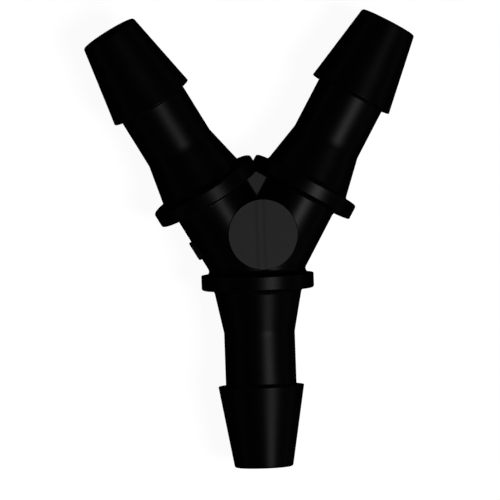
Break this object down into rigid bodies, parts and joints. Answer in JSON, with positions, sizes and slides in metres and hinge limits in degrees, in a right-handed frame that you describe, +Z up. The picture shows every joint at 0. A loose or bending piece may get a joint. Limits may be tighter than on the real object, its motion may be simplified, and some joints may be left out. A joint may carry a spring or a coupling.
{
  "type": "tubing y connector",
  "caption": "Barbed Y connector for soft tube: a stem and two spread arms, each with a collar and a single barb, joined at a small hub with a round pad.",
  "frame": {"origin": "middle of the part's base, where it lies on the rims of its three collars", "axes": "-Y along the stem towards its tip, +Y between the two arms, +Z up through the round pad, +X towards the right arm"},
  "size_m": [0.0308, 0.042, 0.0104],
  "materials": {
    "black_plastic": "moulded, satin"
  },
  "bodies": {
    "root": {"y_connector": "black_plastic"}
  },
  "joints": []
}
